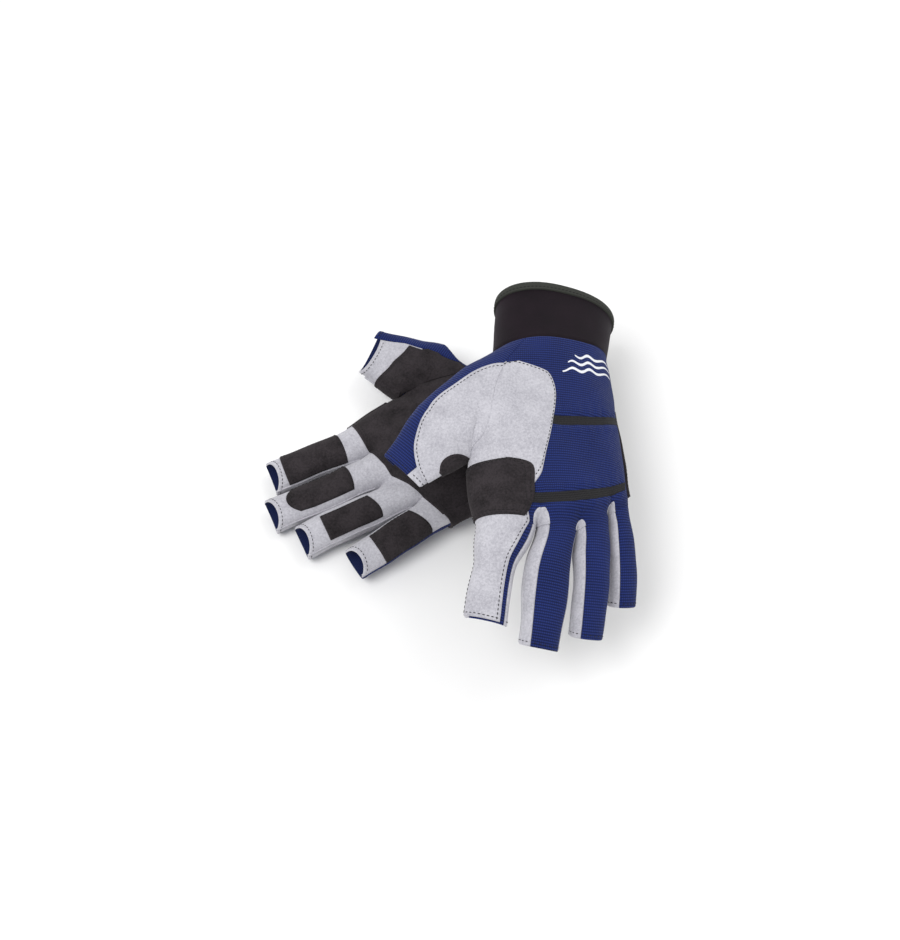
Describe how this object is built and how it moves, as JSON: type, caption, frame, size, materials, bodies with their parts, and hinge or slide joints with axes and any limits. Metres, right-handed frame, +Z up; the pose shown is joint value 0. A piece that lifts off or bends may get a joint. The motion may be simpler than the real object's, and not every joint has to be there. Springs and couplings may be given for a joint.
{
  "type": "sailing gloves",
  "caption": "Pair of short-finger sailing gloves with open fingertips, suede palms, stretch backs and neoprene cuffs; one lies across the other.",
  "frame": {"origin": "centre of the pair's box, on the surface it lies on", "axes": "+Z up; the left glove's fingers point to -Y and its back faces up, the right glove's fingers point to -X and its palm faces up"},
  "size_m": [0.2004, 0.2152, 0.0907],
  "materials": {
    "navy_stretch": "ribbed stretch weave, matt",
    "grey_suede": "synthetic suede, light grey",
    "black_suede": "synthetic suede, black",
    "neoprene": "cloth-faced neoprene, matt",
    "olive_binding": "woven binding tape",
    "black_elastic": "woven elastic"
  },
  "bodies": {
    "right_hand": {"right_cuff": "neoprene", "right_cuff_binding": "olive_binding", "right_back_panel": "navy_stretch", "right_palm_panel": "grey_suede", "right_thumb_base_back": "navy_stretch", "right_thumb_base_palm": "black_suede", "right_index_overlay": "grey_suede", "right_knuckle_patch": "black_suede", "right_elastic_band_upper": "black_elastic", "right_elastic_band_lower": "black_elastic", "right_outer_edge_patch": "black_suede", "right_palm_reinforcement": "black_suede", "right_thumb_gusset": "grey_suede"},
    "right_index": {"right_index_back": "navy_stretch", "right_index_front": "grey_suede", "right_index_pad": "black_suede", "right_index_overlay_tip": "grey_suede"},
    "right_middle": {"right_middle_back": "navy_stretch", "right_middle_front": "grey_suede", "right_middle_pad": "black_suede"},
    "right_ring": {"right_ring_back": "navy_stretch", "right_ring_front": "grey_suede", "right_ring_pad": "black_suede"},
    "right_pinky": {"right_pinky_back": "navy_stretch", "right_pinky_front": "grey_suede", "right_pinky_pad": "black_suede"},
    "right_thumb": {"right_thumb_back": "navy_stretch", "right_thumb_front": "grey_suede", "right_thumb_pad": "black_suede", "right_crotch_patch": "black_suede"},
    "left_hand": {"left_cuff": "neoprene", "left_cuff_binding": "olive_binding", "left_back_panel": "navy_stretch", "left_palm_panel": "grey_suede", "left_thumb_base_back": "navy_stretch", "left_thumb_base_palm": "black_suede", "left_index_overlay": "grey_suede", "left_knuckle_patch": "black_suede", "left_elastic_band_upper": "black_elastic", "left_elastic_band_lower": "black_elastic", "left_outer_edge_patch": "black_suede", "left_palm_reinforcement": "black_suede", "left_thumb_gusset": "grey_suede"},
    "left_index": {"left_index_back": "navy_stretch", "left_index_front": "grey_suede", "left_index_pad": "black_suede", "left_index_overlay_tip": "grey_suede"},
    "left_middle": {"left_middle_back": "navy_stretch", "left_middle_front": "grey_suede", "left_middle_pad": "black_suede"},
    "left_ring": {"left_ring_back": "navy_stretch", "left_ring_front": "grey_suede", "left_ring_pad": "black_suede"},
    "left_pinky": {"left_pinky_back": "navy_stretch", "left_pinky_front": "grey_suede", "left_pinky_pad": "black_suede"},
    "left_thumb": {"left_thumb_back": "navy_stretch", "left_thumb_front": "grey_suede", "left_thumb_pad": "black_suede", "left_crotch_patch": "black_suede"}
  },
  "joints": [
    {"name": "left_glove_lift", "type": "slide", "parent": "right_hand", "child": "left_hand", "axis": [0, 0, 1], "range_m": [0, 0.12]},
    {"name": "right_index_flex", "type": "hinge", "parent": "right_hand", "child": "right_index", "pos_m": [-0.05208, 0.031, 0.02165], "axis": [-0.3736, 0.9276, -0.0056], "range_deg": [0, 70], "stiffness_Nm_per_rad": 0.04},
    {"name": "right_middle_flex", "type": "hinge", "parent": "right_hand", "child": "right_middle", "pos_m": [-0.04219, 0.0123, 0.02196], "axis": [-0.404, 0.9147, -0.0084], "range_deg": [0, 70], "stiffness_Nm_per_rad": 0.04},
    {"name": "right_ring_flex", "type": "hinge", "parent": "right_hand", "child": "right_ring", "pos_m": [-0.03252, -0.0056, 0.02226], "axis": [-0.4293, 0.9031, -0.0107], "range_deg": [0, 70], "stiffness_Nm_per_rad": 0.04},
    {"name": "right_pinky_flex", "type": "hinge", "parent": "right_hand", "child": "right_pinky", "pos_m": [-0.01097, -0.01665, 0.02321], "axis": [-0.5503, 0.8347, -0.0223], "range_deg": [0, 70], "stiffness_Nm_per_rad": 0.04},
    {"name": "right_thumb_flex", "type": "hinge", "parent": "right_hand", "child": "right_thumb", "pos_m": [-0.01703, 0.07844, 0.02919], "axis": [0.4392, 0.8769, 0.1952], "range_deg": [0, 50], "stiffness_Nm_per_rad": 0.04},
    {"name": "left_index_flex", "type": "hinge", "parent": "left_hand", "child": "left_index", "pos_m": [0.0307, -0.05197, 0.06431], "axis": [0.9467, -0.2833, -0.1534], "range_deg": [0, 65], "stiffness_Nm_per_rad": 0.04},
    {"name": "left_middle_flex", "type": "hinge", "parent": "left_hand", "child": "left_middle", "pos_m": [0.05477, -0.04888, 0.05939], "axis": [0.9445, -0.1673, -0.2827], "range_deg": [0, 52], "stiffness_Nm_per_rad": 0.04},
    {"name": "left_ring_flex", "type": "hinge", "parent": "left_hand", "child": "left_ring", "pos_m": [0.07213, -0.04739, 0.05343], "axis": [0.9226, 0.0368, -0.384], "range_deg": [0, 48], "stiffness_Nm_per_rad": 0.04},
    {"name": "left_pinky_flex", "type": "hinge", "parent": "left_hand", "child": "left_pinky", "pos_m": [0.08573, -0.03451, 0.04828], "axis": [0.8726, 0.1991, -0.446], "range_deg": [0, 46], "stiffness_Nm_per_rad": 0.04},
    {"name": "left_thumb_flex", "type": "hinge", "parent": "left_hand", "child": "left_thumb", "pos_m": [0.00193, 0.00377, 0.06554], "axis": [0.6963, -0.7173, -0.0244], "range_deg": [0, 50], "stiffness_Nm_per_rad": 0.04}
  ]
}
